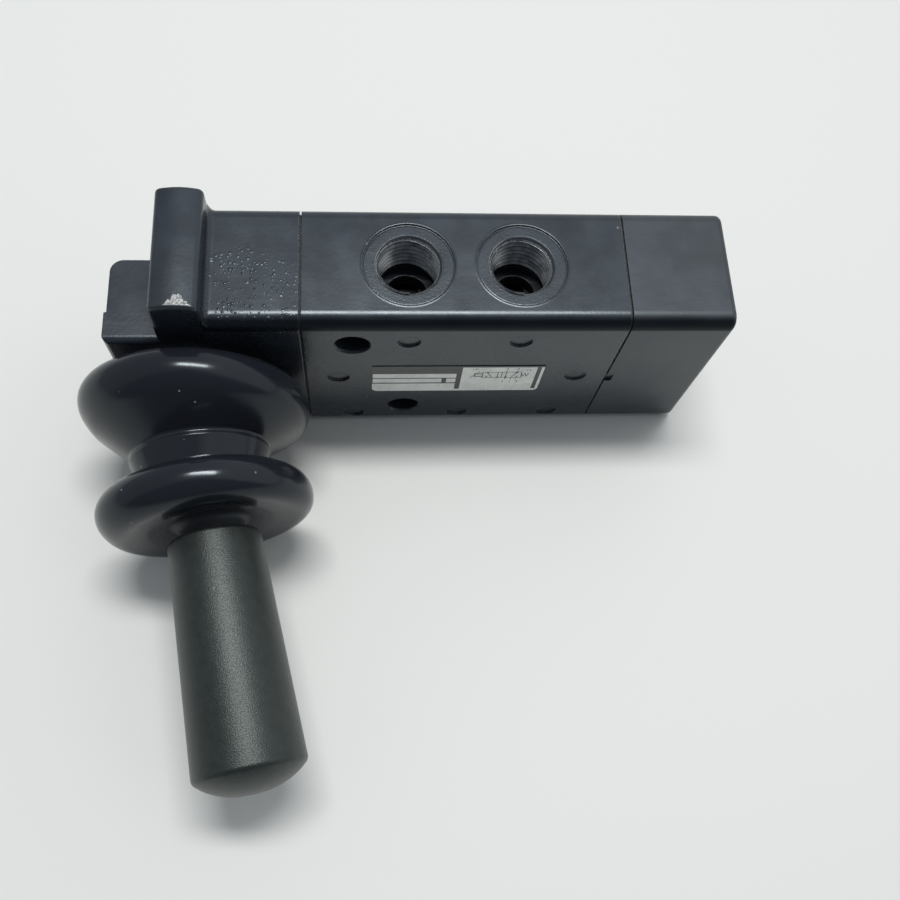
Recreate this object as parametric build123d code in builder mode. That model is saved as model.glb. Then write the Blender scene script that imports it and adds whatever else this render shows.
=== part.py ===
"""Hand lever air valve: five ports, spring return, a side lever in a rubber boot.

Millimetres. The origin is the middle of the central port's mouth, in the bottom face.
+X runs along the spool toward the end cap, +Y toward the back face and +Z up.
"""
import os
from math import cos, radians, sin, sqrt

from build123d import *

os.makedirs("parts", exist_ok=True)

# Valve body
body_length = 63.5
body_depth = 26.0
body_height = 47.0
long_edge_radius = 2.8
cap_length = 20.9
cap_end_radius = 1.2
gasket_thickness = 0.4
gasket_inset = 0.5

# Ports: pipe thread G1/4, bored here to the thread's major diameter. The outer two of the
# lower row stand this far from the body's ends. The upper ports have a recessed spot face.
port_to_end = 9.55
port_diameter = 13.157
port_depth = 11.0
port_chamfer = 0.1
passage_diameter = 8.4
spot_face_diameter = 18.05
spot_face_depth = 0.4

# Mounting holes through the body, and the shallow round marks on its front
mount_hole_diameter = 6.6
mount_hole_mouth = 0.4
upper_hole_from_top = 8.9
lower_hole_z = 8.4
mark_diameter = 4.6
mark_depth = 0.45
mark_from_end = 6.55
mark_from_top = 7.6
low_mark_z = 4.6
middle_mark_shift = 1.3
cap_notch_width = 1.4
cap_notch_height = 2.8
cap_notch_below_axis = 1.2
cap_notch_depth = 0.6

# Spool, seals and cages
stack_bore_diameter = 19.0
stack_clearance = 0.05
seal_width = 2.6
seal_bore_clearance = 0.04
ring_clearance = 0.06
spool_diameter = 12.0
spool_waist_diameter = 7.8
cage_channel_depth = 1.2
cage_rim = 1.6
cage_window_diameter = 4.4
cage_window_count = 4
cage_bore_clearance = 0.3
spool_end_gap = 0.55

# Spool stem and its push tip in the lever housing
stem_diameter = 8.0
tip_diameter = 4.0
tip_stand_out = 3.0
tip_shank_diameter = 2.4
tip_shank_length = 5.0
tip_gap = 0.05

# Return spring
cap_cavity_diameter = 15.0
cap_end_wall = 3.5
spring_seat_diameter = 14.0
spring_seat_thickness = 1.5
spring_seat_nose_diameter = 7.2
spring_seat_nose_length = 4.0
spring_seat_plug_diameter = 5.0
spring_seat_plug_length = 5.0
spring_mean_diameter = 10.4
spring_wire_diameter = 1.2
spring_turns = 5.0

# Lever housing
housing_length = 26.7
hump_width = 9.1
hump_height = 6.1
hump_crown = 0.8
hump_root_radius = 1.4
hump_edge_radius = 0.8
hump_corner_radius = 1.4
nose_length = 10.7
nose_step = 0.5
nose_thick_depth = 6.3
nose_depth = 17.8
nose_height = 33.0
nose_corner_radius = 2.6
nose_edge_radius = 1.3
nose_step_radius = 0.3
guide_bush_length = 10.0
guide_bush_diameter = 15.0
guide_bush_clearance = 0.06
guide_bush_setback = 1.85
stem_passage_diameter = 9.2
stem_passage_end = 1.6

# Lever: it turns on a vertical pin, and rests half its travel toward the end cap
pivot_from_left = 2.35
pivot_from_front = 4.0
lever_travel = 21.0
pin_diameter = 4.0
pin_from_top = 7.0
pin_bottom_z = 1.0
bush_wall = 1.0
bush_length = 6.0
bush_clearance = 0.03
rocker_diameter = 9.0
rocker_height = 14.0
rocker_side_clearance = 0.3
boss_diameter = 10.4
boss_reach = 9.0
arm_width = 3.0
arm_height = 10.0
toe_roller_diameter = 4.0
toe_roller_height = 6.0
toe_roller_side_gap = 0.1
toe_roller_running = 0.04
toe_roller_room = 0.6
toe_pin_diameter = 1.6
rod_diameter = 8.0
rod_stud_diameter = 6.0
rod_stud_start = 4.4
rod_end = 74.0
fit_clearance = 0.02

# Rubber boot, sizes along the lever axis from the pivot and across it
boot_ball_radius = 10.8
boot_ball_start = 2.6
boot_neck = 7.2
ring_one_place = 12.2
ring_one_radius = 22.1
ring_one_round = 4.5
ring_one_front_angle = 35
waist_start = 19.9
waist_end = 23.2
waist_radius = 13.6
ring_two_place = 32.9
ring_two_radius = 20.8
ring_two_round = 4.6
ring_two_back_angle = 135
ring_two_front_angle = -30
dish_place = 34.6
collar_radius = 7.8
collar_end = 38.4
boot_wall = 1.7
boot_running_gap = 0.3
cavity_margin = 0.1
retainer_radius = 13.4
retainer_thickness = 1.0

# Grip
grip_start = 39.1
grip_start_radius = 9.0
grip_end = 82.8
grip_end_radius = 10.5
grip_dome = 4.4
grip_edge_radius = 1.0
grip_rim_radius = 1.2

# Screws
screw_diameter = 3.5
screw_hole_diameter = 3.9
screw_head_diameter = 5.6
screw_head_height = 3.2
screw_recess_diameter = 5.9
screw_recess_depth = 3.6
screw_engagement = 5.0
screw_socket = 2.9
screw_socket_depth = 1.8
screw_from_face = 4.1
cap_screw_from_top = 5.1
housing_screw_from_top = 3.75

# Places worked out from the sizes above
half_length = body_length / 2
half_depth = body_depth / 2
front_y = -half_depth
spool_axis_z = body_height / 2
spool_axis = Axis((0, 0, spool_axis_z), (1, 0, 0))
seam_cap_x = half_length + gasket_thickness
seam_housing_x = -half_length - gasket_thickness
cap_end_x = seam_cap_x + cap_length

port_pitch = half_length - port_to_end
top_port_x = [-port_pitch / 2, port_pitch / 2]
bottom_port_x = [-port_pitch, 0, port_pitch]
seal_places = [(index - 2.5) * port_pitch / 2 for index in range(6)]
cage_places = [(index - 2) * port_pitch / 2 for index in range(5)]
cage_length = port_pitch / 2 - seal_width
spot_face_z = body_height - spot_face_depth
mount_holes = [(bottom_port_x[0], body_height - upper_hole_from_top), (top_port_x[0], lower_hole_z)]
mark_places = [(x, body_height - mark_from_top) for x in top_port_x]
mark_places += [(x, spool_axis_z) for x in (mark_from_end - half_length, half_length - mark_from_end)]
mark_places += [(bottom_port_x[0], low_mark_z), (middle_mark_shift, low_mark_z)]
mark_places.append((bottom_port_x[2], low_mark_z))

hump_left = seam_housing_x - housing_length
hump_right = hump_left + hump_width
hump_top = body_height + hump_height
long_edge_y = half_depth - long_edge_radius
long_edge_z = body_height - long_edge_radius
foot_right = hump_right + hump_root_radius
foot_top = body_height + hump_root_radius
foot_bottom = body_height - long_edge_radius / 2
nose_left = hump_left - nose_length
nose_root_x = hump_left + hump_width / 2
nose_bottom = (body_height - nose_height) / 2
nose_step_y = front_y + nose_thick_depth
nose_back_y = front_y + nose_depth

pivot_x = hump_left + pivot_from_left
pivot_y = front_y + pivot_from_front
pin_top_z = body_height - pin_from_top
toe_arm = -pivot_y
cavity_back_y = toe_roller_diameter / 2 + toe_roller_room
tilt = radians(lever_travel / 2)
stroke = 2 * toe_arm * sin(tilt)
pivot = Vector(pivot_x, pivot_y, spool_axis_z)
lever_direction = Vector(sin(tilt), -cos(tilt), 0)
lever_axis = Axis(pivot, lever_direction)
lever_plane = Plane(origin=pivot, x_dir=lever_direction, z_dir=Vector(-cos(tilt), -sin(tilt), 0))
toe_x = pivot_x - toe_arm * sin(tilt)
tip_face_x = toe_x + toe_roller_diameter / 2 + tip_gap
stem_end_x = tip_face_x + tip_stand_out
guide_bush_x = seam_housing_x - guide_bush_setback
guide_bush_end_x = guide_bush_x - guide_bush_length
spool_right_x = half_length + spool_end_gap
seat_back_x = spool_right_x + spring_seat_thickness
cavity_end_x = cap_end_x - cap_end_wall
opening_radius = boot_ball_radius + boot_running_gap + cavity_margin
retainer_bore_radius = sqrt(boot_ball_radius**2 - pivot_from_front**2) + boot_running_gap

# The screws' places are measured from the spool axis, across the body and up
screw_y = half_depth - screw_from_face
cap_screw_z = spool_axis_z - cap_screw_from_top
housing_screw_z = spool_axis_z - housing_screw_from_top
cap_screws_at = [(side * screw_y, lift * cap_screw_z) for side in (-1, 1) for lift in (-1, 1)]
housing_screws_at = [(-screw_y, housing_screw_z), (screw_y, -housing_screw_z)]


def finish(builder, name):
    """Labels a finished sub-part and writes it."""
    builder.part.label = name
    export_step(builder.part, f"parts/{name}.step")


def section(x):
    """The plane across the spool axis at x; its own origin lies on that axis."""
    return Plane(origin=(x, 0, spool_axis_z), x_dir=(0, 1, 0), z_dir=(1, 0, 0))


# Valve body: a block with rounded long edges
with BuildPart() as valve_body:
    with BuildSketch(section(-half_length)):
        RectangleRounded(body_depth, body_height, long_edge_radius)
    extrude(amount=body_length)

    # The bore for the seals and cages, from end to end
    with Locations(section(0)):
        Cylinder(stack_bore_diameter / 2, body_length, mode=Mode.SUBTRACT)

    # The round spot faces of the two upper ports
    with BuildSketch(Plane.XY.offset(body_height)):
        with Locations([(x, 0) for x in top_port_x]):
            Circle(spot_face_diameter / 2)
    extrude(amount=-spot_face_depth, mode=Mode.SUBTRACT)

    # Two ports above and three below, each with a passage to the bore
    upper_mouth = Plane.XY.offset(spot_face_z)
    lower_mouth = Plane.XY.rotated((180, 0, 0))
    for mouth, places in ((upper_mouth, top_port_x), (lower_mouth, bottom_port_x)):
        with BuildSketch(mouth):
            with Locations([(x, 0) for x in places]):
                Circle(port_diameter / 2)
        extrude(amount=-port_depth, mode=Mode.SUBTRACT)
        with BuildSketch(mouth):
            with Locations([(x, 0) for x in places]):
                Circle(passage_diameter / 2)
        extrude(amount=-spool_axis_z, mode=Mode.SUBTRACT)
    mouth_edges = valve_body.edges().filter_by(GeomType.CIRCLE).filter_by(
        lambda edge: abs(edge.radius - port_diameter / 2) < 0.001
        and min(abs(edge.center().Z), abs(edge.center().Z - spot_face_z)) < 0.001
    )
    chamfer(mouth_edges, port_chamfer)

    # Mounting holes from front to back, in line with two of the ports
    for x, z in mount_holes:
        with Locations(Plane(origin=(x, 0, z), z_dir=(0, -1, 0))):
            Cylinder(mount_hole_diameter / 2, body_depth, mode=Mode.SUBTRACT)
    hole_edges = valve_body.edges().filter_by(GeomType.CIRCLE).filter_by(
        lambda edge: abs(edge.radius - mount_hole_diameter / 2) < 0.001
        and abs(abs(edge.center().Y) - half_depth) < 0.001
    )
    chamfer(hole_edges, mount_hole_mouth)

    # Shallow round marks that the mould's pins leave on the front
    with BuildSketch(Plane.XZ.offset(-front_y)):
        with Locations(mark_places):
            Circle(mark_diameter / 2)
    extrude(amount=-mark_depth, mode=Mode.SUBTRACT)

    # Screw holes in both ends
    with BuildSketch(section(half_length)):
        with Locations(cap_screws_at):
            Circle(screw_diameter / 2)
    extrude(amount=-screw_engagement - fit_clearance, mode=Mode.SUBTRACT)
    with BuildSketch(section(-half_length)):
        with Locations(housing_screws_at):
            Circle(screw_diameter / 2)
    extrude(amount=screw_engagement + fit_clearance, mode=Mode.SUBTRACT)
finish(valve_body, "valve_body")


# End cap: a plain block with a blind cavity for the spring
with BuildPart() as end_cap:
    with BuildSketch(section(seam_cap_x)):
        RectangleRounded(body_depth, body_height, long_edge_radius)
    extrude(amount=cap_length)
    fillet(end_cap.faces().sort_by(Axis.X)[-1].edges(), cap_end_radius)
    with BuildSketch(section(seam_cap_x)):
        Circle(cap_cavity_diameter / 2)
    extrude(amount=cavity_end_x - seam_cap_x, mode=Mode.SUBTRACT)
    with BuildSketch(section(seam_cap_x)):
        with Locations(cap_screws_at):
            Circle(screw_hole_diameter / 2)
    extrude(amount=cap_length, mode=Mode.SUBTRACT)
    with BuildSketch(section(cap_end_x)):
        with Locations(cap_screws_at):
            Circle(screw_recess_diameter / 2)
    extrude(amount=-screw_recess_depth, mode=Mode.SUBTRACT)
    with BuildSketch(Plane.XZ.offset(-front_y)):
        with Locations((seam_cap_x + cap_notch_width / 2, spool_axis_z - cap_notch_below_axis)):
            Rectangle(cap_notch_width, cap_notch_height)
    extrude(amount=-cap_notch_depth, mode=Mode.SUBTRACT)
finish(end_cap, "end_cap")


# Lever housing: a raised bar, a lower nose and a block that carries on the body's section
with BuildPart() as lever_housing:
    # The nose is thicker at its front; its top and left edges are well rounded
    nose_middle_z = nose_bottom + nose_height / 2
    for left, near_y, far_y, corner in (
        (nose_left, front_y, nose_step_y, nose_step_radius),
        (nose_left + nose_step, front_y + nose_edge_radius, nose_back_y, nose_corner_radius),
    ):
        with BuildSketch(Plane.XY.offset(nose_bottom)):
            with Locations(((left + nose_root_x) / 2, (near_y + far_y) / 2)):
                Rectangle(nose_root_x - left, far_y - near_y)
        extrude(amount=nose_height)
        upright = lever_housing.edges().filter_by(Axis.Z).filter_by(
            lambda edge: abs(edge.center().X - left) < 0.001
        )
        fillet(upright.sort_by(Axis.Y)[-1], corner)
    outer_rims = lever_housing.edges().filter_by(
        lambda edge: abs(abs(edge.center().Z - nose_middle_z) - nose_height / 2) < 0.001
        and edge.center().Y < front_y + 0.001
    )
    front_upright = lever_housing.edges().filter_by(Axis.Z).filter_by(
        lambda edge: abs(edge.center().X - nose_left) < 0.001 and edge.center().Y < front_y + 0.001
    )
    fillet(outer_rims + front_upright, nose_edge_radius)

    # The raised bar across the top, with a rounded corner on each side
    with BuildSketch(Plane.XZ.offset(-front_y)):
        with BuildLine():
            Line((hump_left, spool_axis_z), (hump_left, hump_top - hump_crown))
            ThreePointArc(
                (hump_left, hump_top - hump_crown),
                (hump_left + hump_width / 2, hump_top),
                (hump_right, hump_top - hump_crown),
            )
            Line((hump_right, hump_top - hump_crown), (hump_right, spool_axis_z))
            Line((hump_right, spool_axis_z), (hump_left, spool_axis_z))
        make_face()
        fillet(vertices().group_by(Axis.Y)[-1], hump_corner_radius)
    extrude(amount=-body_depth)
    bar_ends = lever_housing.edges().filter_by(
        lambda edge: abs(abs(edge.center().Y) - half_depth) < 0.001
        and edge.center().Z > body_height
    )
    fillet(bar_ends, hump_edge_radius)

    with BuildSketch(section(hump_left)):
        RectangleRounded(body_depth, body_height, long_edge_radius)
    extrude(amount=housing_length)

    # The bar's concave foot, carried round both of the block's long edges
    with BuildPart(mode=Mode.PRIVATE) as foot:
        for side in (-1, 1):
            with BuildSketch(Plane.XZ.offset(-side * long_edge_y)) as outline:
                with BuildLine():
                    Line((hump_right, foot_bottom), (hump_right, foot_top))
                    CenterArc((foot_right, foot_top), hump_root_radius, 180, 90)
                    Polyline(
                        (foot_right, body_height),
                        (foot_right, foot_bottom),
                        (hump_right, foot_bottom),
                    )
                make_face()
            extrude(amount=side * long_edge_y)
            edge_axis = Axis((0, side * long_edge_y, long_edge_z), (-side, 0, 0))
            revolve(outline.sketch, axis=edge_axis, revolution_arc=90)
        with Locations((hump_right, 0, body_height)):
            Box(housing_length, body_depth, body_height, mode=Mode.INTERSECT)
    add(foot.part)

    # The round cavity behind the boot, open to the front
    with Locations(Plane(origin=(pivot_x, front_y, spool_axis_z), z_dir=(0, 1, 0))):
        Cylinder(
            opening_radius,
            cavity_back_y - front_y,
            align=(Align.CENTER, Align.CENTER, Align.MIN),
            mode=Mode.SUBTRACT,
        )

    # The bore for the guide bush, then a passage for the stem
    with BuildSketch(section(seam_housing_x)):
        Circle(guide_bush_diameter / 2)
    extrude(amount=guide_bush_end_x - seam_housing_x, mode=Mode.SUBTRACT)
    with BuildSketch(section(guide_bush_end_x)):
        Circle(stem_passage_diameter / 2)
    extrude(amount=stem_end_x - stem_passage_end - guide_bush_end_x, mode=Mode.SUBTRACT)

    # The pivot pin's bore, from below and blind at the top
    with BuildSketch(Plane.XY):
        with Locations((pivot_x, pivot_y)):
            Circle(pin_diameter / 2 + fit_clearance)
    extrude(amount=pin_top_z, mode=Mode.SUBTRACT)

    # Screw holes with recessed heads in the left face
    with BuildSketch(section(hump_left)):
        with Locations(housing_screws_at):
            Circle(screw_hole_diameter / 2)
    extrude(amount=housing_length, mode=Mode.SUBTRACT)
    with BuildSketch(section(hump_left)):
        with Locations(housing_screws_at):
            Circle(screw_recess_diameter / 2)
    extrude(amount=screw_recess_depth, mode=Mode.SUBTRACT)
finish(lever_housing, "lever_housing")


def gasket(x, screw_places):
    """A flat gasket against one end of the body."""
    with BuildPart() as sheet:
        with BuildSketch(section(x)):
            width = body_depth - 2 * gasket_inset
            height = body_height - 2 * gasket_inset
            RectangleRounded(width, height, long_edge_radius)
            Circle(stack_bore_diameter / 2 - cage_channel_depth, mode=Mode.SUBTRACT)
            with Locations(screw_places):
                Circle(screw_hole_diameter / 2, mode=Mode.SUBTRACT)
        extrude(amount=gasket_thickness)
    return sheet


finish(gasket(half_length, cap_screws_at), "cap_gasket")
finish(gasket(seam_housing_x, housing_screws_at), "housing_gasket")


def socket_screws(tip_x, direction, length, places):
    """Equal socket screws along the spool axis, from their tips to their heads."""
    with BuildPart() as screws:
        with BuildSketch(section(tip_x)):
            with Locations(places):
                Circle(screw_diameter / 2 - fit_clearance)
        extrude(amount=direction * length)
        with BuildSketch(section(tip_x + direction * length)):
            with Locations(places):
                Circle(screw_head_diameter / 2)
        extrude(amount=direction * screw_head_height)
        with BuildSketch(section(tip_x + direction * (length + screw_head_height))):
            with Locations(places):
                RegularPolygon(screw_socket / 2, 6, major_radius=False)
        extrude(amount=-direction * screw_socket_depth, mode=Mode.SUBTRACT)
    return screws


cap_screw_length = cap_end_x - screw_recess_depth - half_length + screw_engagement
housing_screw_length = -half_length + screw_engagement - (hump_left + screw_recess_depth)
cap_screws = socket_screws(half_length - screw_engagement, 1, cap_screw_length, cap_screws_at)
finish(cap_screws, "cap_screws")
housing_screws = socket_screws(
    -half_length + screw_engagement, -1, housing_screw_length, housing_screws_at
)
finish(housing_screws, "housing_screws")


# Port cages: rings with an outer channel and windows, one at each port
for number, x in enumerate(cage_places, start=1):
    with BuildPart() as cage:
        with BuildSketch(section(x)):
            Circle(stack_bore_diameter / 2 - stack_clearance)
            Circle(spool_diameter / 2 + cage_bore_clearance, mode=Mode.SUBTRACT)
        extrude(amount=cage_length / 2, both=True)
        with BuildSketch(section(x)):
            Circle(stack_bore_diameter / 2)
            Circle(stack_bore_diameter / 2 - cage_channel_depth, mode=Mode.SUBTRACT)
        extrude(amount=cage_length / 2 - cage_rim, both=True, mode=Mode.SUBTRACT)
        for step in range(cage_window_count // 2):
            turn = step * 360 / cage_window_count
            with Locations(section(x).rotated((0, 0, turn)) * Location((0, 0, 0), (90, 0, 0))):
                Cylinder(cage_window_diameter / 2, stack_bore_diameter, mode=Mode.SUBTRACT)
    finish(cage, f"port_cage_{number}")

# Seals between the cages, with a rounded lip on the spool
for number, x in enumerate(seal_places, start=1):
    with BuildPart() as seal:
        with BuildSketch(Plane.XZ):
            with BuildLine():
                lip = spool_axis_z + spool_diameter / 2 + seal_bore_clearance
                rim = spool_axis_z + stack_bore_diameter / 2 - stack_clearance
                left = x - seal_width / 2
                right = x + seal_width / 2
                Polyline(
                    (left, lip + seal_width / 4),
                    (left, rim),
                    (right, rim),
                    (right, lip + seal_width / 4),
                )
                ThreePointArc((left, lip + seal_width / 4), (x, lip), (right, lip + seal_width / 4))
            make_face()
        revolve(axis=spool_axis)
    finish(seal, f"spool_seal_{number}")

# End rings that close the stack at both ends of the bore
outer_seal_face = seal_places[-1] + seal_width / 2
for side, name in ((-1, "end_ring_left"), (1, "end_ring_right")):
    with BuildPart() as end_ring:
        with BuildSketch(section(side * outer_seal_face)):
            Circle(stack_bore_diameter / 2 - stack_clearance)
            Circle(spool_diameter / 2 + ring_clearance, mode=Mode.SUBTRACT)
        extrude(amount=side * (half_length - outer_seal_face))
    finish(end_ring, name)


# Spool: lands and two waists, so that each seal lies on a land or over a waist
land_lead = stroke / 2
waist_one = (seal_places[1] - land_lead, seal_places[2] - land_lead)
waist_two = (seal_places[3] - land_lead, seal_places[4] - land_lead)
with BuildPart() as spool:
    with BuildSketch(Plane.XZ):
        with BuildLine():
            land = spool_axis_z + spool_diameter / 2
            waist = spool_axis_z + spool_waist_diameter / 2
            slope = (spool_diameter - spool_waist_diameter) / 4
            stem = spool_axis_z + stem_diameter / 2
            Polyline(
                (stem_end_x, spool_axis_z),
                (stem_end_x, stem),
                (guide_bush_end_x, stem),
                (guide_bush_end_x, land),
                (waist_one[0], land),
                (waist_one[0] + slope, waist),
                (waist_one[1] - slope, waist),
                (waist_one[1], land),
                (waist_two[0], land),
                (waist_two[0] + slope, waist),
                (waist_two[1] - slope, waist),
                (waist_two[1], land),
                (spool_right_x, land),
                (spool_right_x, spool_axis_z),
                close=True,
            )
        make_face()
    revolve(axis=spool_axis)
    with BuildSketch(section(spool_right_x)):
        Circle(spring_seat_plug_diameter / 2 + fit_clearance)
    extrude(amount=-spring_seat_plug_length, mode=Mode.SUBTRACT)
    with BuildSketch(section(stem_end_x)):
        Circle(tip_shank_diameter / 2 + fit_clearance)
    extrude(amount=tip_shank_length, mode=Mode.SUBTRACT)
finish(spool, "spool")

# Hardened tip on the stem, where the lever pushes
with BuildPart() as spool_tip:
    with BuildSketch(section(tip_face_x)):
        Circle(tip_diameter / 2)
    extrude(amount=tip_stand_out)
    with BuildSketch(section(stem_end_x)):
        Circle(tip_shank_diameter / 2)
    extrude(amount=tip_shank_length)
finish(spool_tip, "spool_tip")

# Guide bush for the spool in the lever housing
with BuildPart() as guide_bush:
    with BuildSketch(section(guide_bush_x)):
        Circle(guide_bush_diameter / 2 - fit_clearance)
        Circle(spool_diameter / 2 + guide_bush_clearance, mode=Mode.SUBTRACT)
    extrude(amount=-guide_bush_length)
finish(guide_bush, "guide_bush")

# Spring seat: a flange with a plug in the spool and a nose inside the spring
with BuildPart() as spring_seat:
    with BuildSketch(section(spool_right_x)):
        Circle(spring_seat_diameter / 2)
    extrude(amount=spring_seat_thickness)
    with BuildSketch(section(seat_back_x)):
        Circle(spring_seat_nose_diameter / 2)
    extrude(amount=spring_seat_nose_length)
    with BuildSketch(section(spool_right_x)):
        Circle(spring_seat_plug_diameter / 2)
    extrude(amount=-spring_seat_plug_length)
finish(spring_seat, "spring_seat")

# Return spring between the seat and the end wall of the cap
spring_length = cavity_end_x - seat_back_x
with BuildPart() as return_spring:
    with BuildLine() as coil:
        Helix(
            pitch=(spring_length - spring_wire_diameter) / spring_turns,
            height=spring_length - spring_wire_diameter,
            radius=spring_mean_diameter / 2,
            center=(seat_back_x + spring_wire_diameter / 2, 0, spool_axis_z),
            direction=(1, 0, 0),
        )
    with BuildSketch(Plane(origin=coil.line @ 0, z_dir=coil.line % 0)):
        Circle(spring_wire_diameter / 2 - fit_clearance)
    sweep(path=coil.line, is_frenet=True)
finish(return_spring, "return_spring")


# Pivot pin, pressed in from below
with BuildPart() as pivot_pin:
    with BuildSketch(Plane.XY.offset(pin_bottom_z)):
        with Locations((pivot_x, pivot_y)):
            Circle(pin_diameter / 2)
    extrude(amount=pin_top_z - pin_bottom_z)
finish(pivot_pin, "pivot_pin")

# Rocker: a hub on the pin, a boss for the rod in front and a forked arm behind
bush_radius = pin_diameter / 2 + bush_wall
with BuildPart() as rocker:
    with Locations(pivot):
        Cylinder(rocker_diameter / 2, rocker_height)
    with BuildSketch(Plane(origin=pivot, z_dir=lever_direction)):
        Circle(boss_diameter / 2)
    extrude(amount=boss_reach)
    arm_plane = Plane(
        origin=pivot - Vector(0, 0, arm_height / 2), x_dir=lever_direction, z_dir=(0, 0, 1)
    )
    with BuildSketch(arm_plane):
        with Locations((-toe_arm / 2, 0)):
            Rectangle(toe_arm, arm_width)
        with Locations((-toe_arm, 0)):
            Circle(arm_width / 2)
    extrude(amount=arm_height)
    slot_height = toe_roller_height + 2 * toe_roller_side_gap
    slot_plane = Plane(
        origin=pivot - Vector(0, 0, slot_height / 2), x_dir=lever_direction, z_dir=(0, 0, 1)
    )
    with BuildSketch(slot_plane):
        with Locations((-toe_arm, 0)):
            Rectangle(toe_roller_diameter + 2 * rocker_side_clearance, toe_roller_diameter)
    extrude(amount=slot_height, mode=Mode.SUBTRACT)
    with Locations(pivot):
        Cylinder(bush_radius + fit_clearance, rocker_height, mode=Mode.SUBTRACT)
    with Locations(pivot - lever_direction * toe_arm):
        Cylinder(toe_pin_diameter / 2 + fit_clearance, arm_height, mode=Mode.SUBTRACT)
    with BuildSketch(Plane(origin=pivot + lever_direction * rod_stud_start, z_dir=lever_direction)):
        Circle(rod_stud_diameter / 2 + fit_clearance)
    extrude(amount=boss_reach, mode=Mode.SUBTRACT)
finish(rocker, "rocker")

# Two plain bushes in the rocker's hub
for side, name in ((-1, "lower_pivot_bush"), (1, "upper_pivot_bush")):
    with BuildPart() as pivot_bush:
        bush_start = pivot + Vector(0, 0, side * (rocker_height / 2 - bush_length))
        with BuildSketch(Plane(origin=bush_start, z_dir=(0, 0, 1))):
            Circle(bush_radius)
            Circle(pin_diameter / 2 + bush_clearance, mode=Mode.SUBTRACT)
        extrude(amount=side * bush_length)
    finish(pivot_bush, name)

# Toe roller and its pin
with BuildPart() as toe_roller:
    with Locations(pivot - lever_direction * toe_arm):
        Cylinder(toe_roller_diameter / 2, toe_roller_height)
        Cylinder(
            toe_pin_diameter / 2 + toe_roller_running, toe_roller_height, mode=Mode.SUBTRACT
        )
finish(toe_roller, "toe_roller")

with BuildPart() as toe_pin:
    with Locations(pivot - lever_direction * toe_arm):
        Cylinder(toe_pin_diameter / 2, arm_height)
finish(toe_pin, "toe_pin")

# Lever rod: a stud in the rocker, a shoulder and a long shank in the grip
with BuildPart() as lever_rod:
    with BuildSketch(Plane(origin=pivot + lever_direction * rod_stud_start, z_dir=lever_direction)):
        Circle(rod_stud_diameter / 2)
    extrude(amount=boss_reach - rod_stud_start)
    with BuildSketch(Plane(origin=pivot + lever_direction * boss_reach, z_dir=lever_direction)):
        Circle(rod_diameter / 2)
    extrude(amount=rod_end - boss_reach)
finish(lever_rod, "lever_rod")


def ball_radius_at(place):
    """How far the boot's ball stands from the lever axis at that place along it."""
    return sqrt(boot_ball_radius**2 - place**2)


def ring_arc(place, radius, round_radius, back_angle, front_angle):
    """Three points on a ring's round edge; 0 degrees is its front and 90 its rim."""
    turns = [radians(angle) for angle in (back_angle, (back_angle + front_angle) / 2, front_angle)]
    middle = radius - round_radius
    return [(place + round_radius * cos(turn), middle + round_radius * sin(turn)) for turn in turns]


# Rubber boot: a ball at its root, two rings with a waist between them, a dish and a collar
ring_one = ring_arc(ring_one_place, ring_one_radius, ring_one_round, 180, ring_one_front_angle)
ring_two = ring_arc(
    ring_two_place, ring_two_radius, ring_two_round, ring_two_back_angle, ring_two_front_angle
)
with BuildPart() as bellows:
    with BuildSketch(lever_plane):
        with BuildLine():
            ball_middle = (boot_ball_start + boot_neck) / 2
            ThreePointArc(
                (boot_ball_start, ball_radius_at(boot_ball_start)),
                (ball_middle, ball_radius_at(ball_middle)),
                (boot_neck, ball_radius_at(boot_neck)),
            )
            Line((boot_neck, ball_radius_at(boot_neck)), ring_one[0])
            ThreePointArc(*ring_one)
            Line(ring_one[2], (waist_start, waist_radius))
            Line((waist_start, waist_radius), (waist_end, waist_radius))
            Line((waist_end, waist_radius), ring_two[0])
            ThreePointArc(*ring_two)
            Line(ring_two[2], (dish_place, collar_radius))
            Polyline(
                (dish_place, collar_radius),
                (collar_end, collar_radius),
                (collar_end, rod_diameter / 2 + fit_clearance),
                (dish_place - boot_wall, rod_diameter / 2 + fit_clearance),
                (ring_two_place, ring_two_radius - ring_two_round - boot_wall),
                (ring_two_place, ring_two_radius - boot_wall),
                (waist_end, waist_radius - boot_wall),
                (waist_start - boot_wall, waist_radius - boot_wall),
                (ring_one_place, ring_one_radius - boot_wall),
                (boot_neck + 2 * boot_wall, ring_one_radius - ring_one_round),
                (boot_neck + boot_wall, boss_diameter / 2 + fit_clearance),
                (boot_neck, boss_diameter / 2 + fit_clearance),
                (boot_ball_start, ball_radius_at(boot_ball_start) - boot_wall),
                (boot_ball_start, ball_radius_at(boot_ball_start)),
            )
        make_face()
    revolve(axis=lever_axis)
finish(bellows, "bellows")

# Ring on the housing's front that holds the boot's root
with BuildPart() as bellows_retainer:
    with BuildSketch(Plane(origin=(pivot_x, front_y, spool_axis_z), z_dir=(0, -1, 0))):
        Circle(retainer_radius)
        Circle(retainer_bore_radius, mode=Mode.SUBTRACT)
    extrude(amount=retainer_thickness)
finish(bellows_retainer, "bellows_retainer")


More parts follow.
